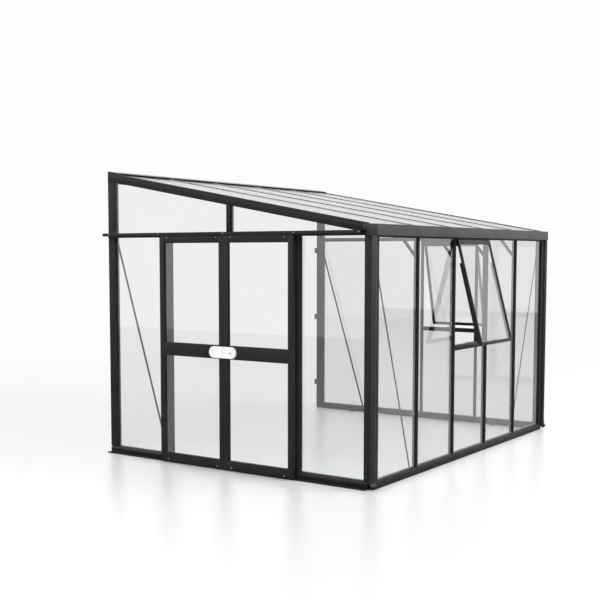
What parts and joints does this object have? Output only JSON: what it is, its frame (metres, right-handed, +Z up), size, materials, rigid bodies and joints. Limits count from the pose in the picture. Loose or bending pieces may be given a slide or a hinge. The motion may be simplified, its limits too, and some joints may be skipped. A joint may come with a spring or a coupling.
{
  "type": "lean-to greenhouse",
  "caption": "Glazed lean-to greenhouse with a dark aluminium frame, sliding doors in one end, top-hung windows, a sloped roof, gutter and downpipes.",
  "frame": {"origin": "on the floor under the middle of the whole object's box, with the windows open as in the picture and the doors closed", "axes": "+X along the ridge from the door gable to the far gable, +Y from the glazed front to the open back at the wall, +Z up"},
  "size_m": [3.7198, 2.9378, 2.479],
  "materials": {
    "frame": "anthracite powder coat, fine matt texture",
    "gutter_metal": "anthracite powder coat, satin",
    "glass": "clear toughened glass",
    "twin_wall": "clear twin-wall polycarbonate",
    "dark_plastic": "moulded anthracite plastic",
    "white_plastic": "smooth white plastic",
    "steel": "stainless steel",
    "roller": "black nylon"
  },
  "bodies": {
    "frame": {"base_front": "frame", "base_door_end": "frame", "base_far_end": "frame", "corner_posts": "frame", "wall_posts": "frame", "front_mullions": "frame", "far_end_mullions": "frame", "mullion_caps": "frame", "door_jambs": "frame", "gable_transoms": "frame", "gable_upper_mullions": "frame", "rafters": "frame", "roof_bars": "frame", "roof_bar_caps": "frame", "roof_panels": "twin_wall", "wall_plate": "frame", "ridge_flashing": "frame", "eave_rail": "frame", "gutter": "gutter_metal", "gutter_end_pieces": "dark_plastic", "downpipes": "dark_plastic", "downpipe_spouts": "dark_plastic", "knee_braces": "frame", "diagonal_braces": "frame", "front_panes": "glass", "end_panes": "glass", "gable_upper_panes": "glass", "window_heads": "frame", "window_sills": "frame", "door_top_track": "frame", "door_bottom_rail": "frame", "track_screws": "steel", "frame_bolts": "steel", "wall_brackets": "steel", "floor_anchors": "steel"},
    "left_door": {"left_door_stiles": "frame", "left_door_rails": "frame", "left_door_panes": "glass", "left_door_handle": "white_plastic", "left_door_hangers": "steel", "left_door_guides": "dark_plastic", "left_door_screws": "steel"},
    "left_roller_inner": {"left_door_roller_inner": "roller"},
    "left_roller_outer": {"left_door_roller_outer": "roller"},
    "right_door": {"right_door_stiles": "frame", "right_door_rails": "frame", "right_door_panes": "glass", "right_door_handle": "white_plastic", "right_door_hangers": "steel", "right_door_guides": "dark_plastic", "right_door_screws": "steel"},
    "right_roller_inner": {"right_door_roller_inner": "roller"},
    "right_roller_outer": {"right_door_roller_outer": "roller"},
    "lock_knob": {"lock_knob": "steel"},
    "front_window": {"front_sash_frame": "frame", "front_sash_pane": "glass"},
    "front_stay": {"front_stay": "frame"},
    "far_window": {"far_sash_frame": "frame", "far_sash_pane": "glass"},
    "far_stay": {"far_stay": "frame"}
  },
  "joints": [
    {"name": "left_door_slide", "type": "slide", "parent": "frame", "child": "left_door", "axis": [0, 1, 0], "range_m": [0, 0.6]},
    {"name": "right_door_slide", "type": "slide", "parent": "frame", "child": "right_door", "axis": [0, -1, 0], "range_m": [0, 0.6]},
    {"name": "left_roller_inner_turn", "type": "hinge", "parent": "left_door", "child": "left_roller_inner", "pos_m": [-1.77588, 0.25688, 1.9203], "axis": [1, 0, 0], "range_deg": [-3439.7, 0]},
    {"name": "left_roller_outer_turn", "type": "hinge", "parent": "left_door", "child": "left_roller_outer", "pos_m": [-1.77588, 0.69488, 1.9203], "axis": [1, 0, 0], "range_deg": [-3439.7, 0]},
    {"name": "right_roller_inner_turn", "type": "hinge", "parent": "right_door", "child": "right_roller_inner", "pos_m": [-1.77588, 0.01488, 1.9203], "axis": [1, 0, 0], "range_deg": [0, 3439.7]},
    {"name": "right_roller_outer_turn", "type": "hinge", "parent": "right_door", "child": "right_roller_outer", "pos_m": [-1.77588, -0.42312, 1.9203], "axis": [1, 0, 0], "range_deg": [0, 3439.7]},
    {"name": "lock_knob_turn", "type": "hinge", "parent": "right_door", "child": "lock_knob", "pos_m": [-1.85188, 0.05388, 0.969], "axis": [1, 0, 0], "range_deg": [0, 90]},
    {"name": "front_window_hinge", "type": "hinge", "parent": "frame", "child": "front_window", "pos_m": [-0.07488, -1.22612, 1.884], "axis": [1, 0, 0], "range_deg": [0, 14.6]},
    {"name": "front_stay_pin", "type": "hinge", "parent": "front_window", "child": "front_stay", "pos_m": [-0.07488, -1.42861, 1.02531], "axis": [1, 0, 0], "range_deg": [-10.61, 0]},
    {"name": "far_window_hinge", "type": "hinge", "parent": "frame", "child": "far_window", "pos_m": [1.61712, -0.17812, 1.884], "axis": [0, 1, 0], "range_deg": [0, 14.6]},
    {"name": "far_stay_pin", "type": "hinge", "parent": "far_window", "child": "far_stay", "pos_m": [1.81961, -0.17812, 1.02531], "axis": [0, 1, 0], "range_deg": [-10.61, 0]}
  ],
  "couplings": [
    {"joint": "left_roller_inner_turn", "follows": "left_door_slide", "rad_per_m": -100},
    {"joint": "left_roller_outer_turn", "follows": "left_door_slide", "rad_per_m": -100},
    {"joint": "right_roller_inner_turn", "follows": "right_door_slide", "rad_per_m": 100},
    {"joint": "right_roller_outer_turn", "follows": "right_door_slide", "rad_per_m": 100},
    {"joint": "front_stay_pin", "follows": "front_window_hinge", "ratio": -0.72},
    {"joint": "far_stay_pin", "follows": "far_window_hinge", "ratio": -0.72}
  ]
}
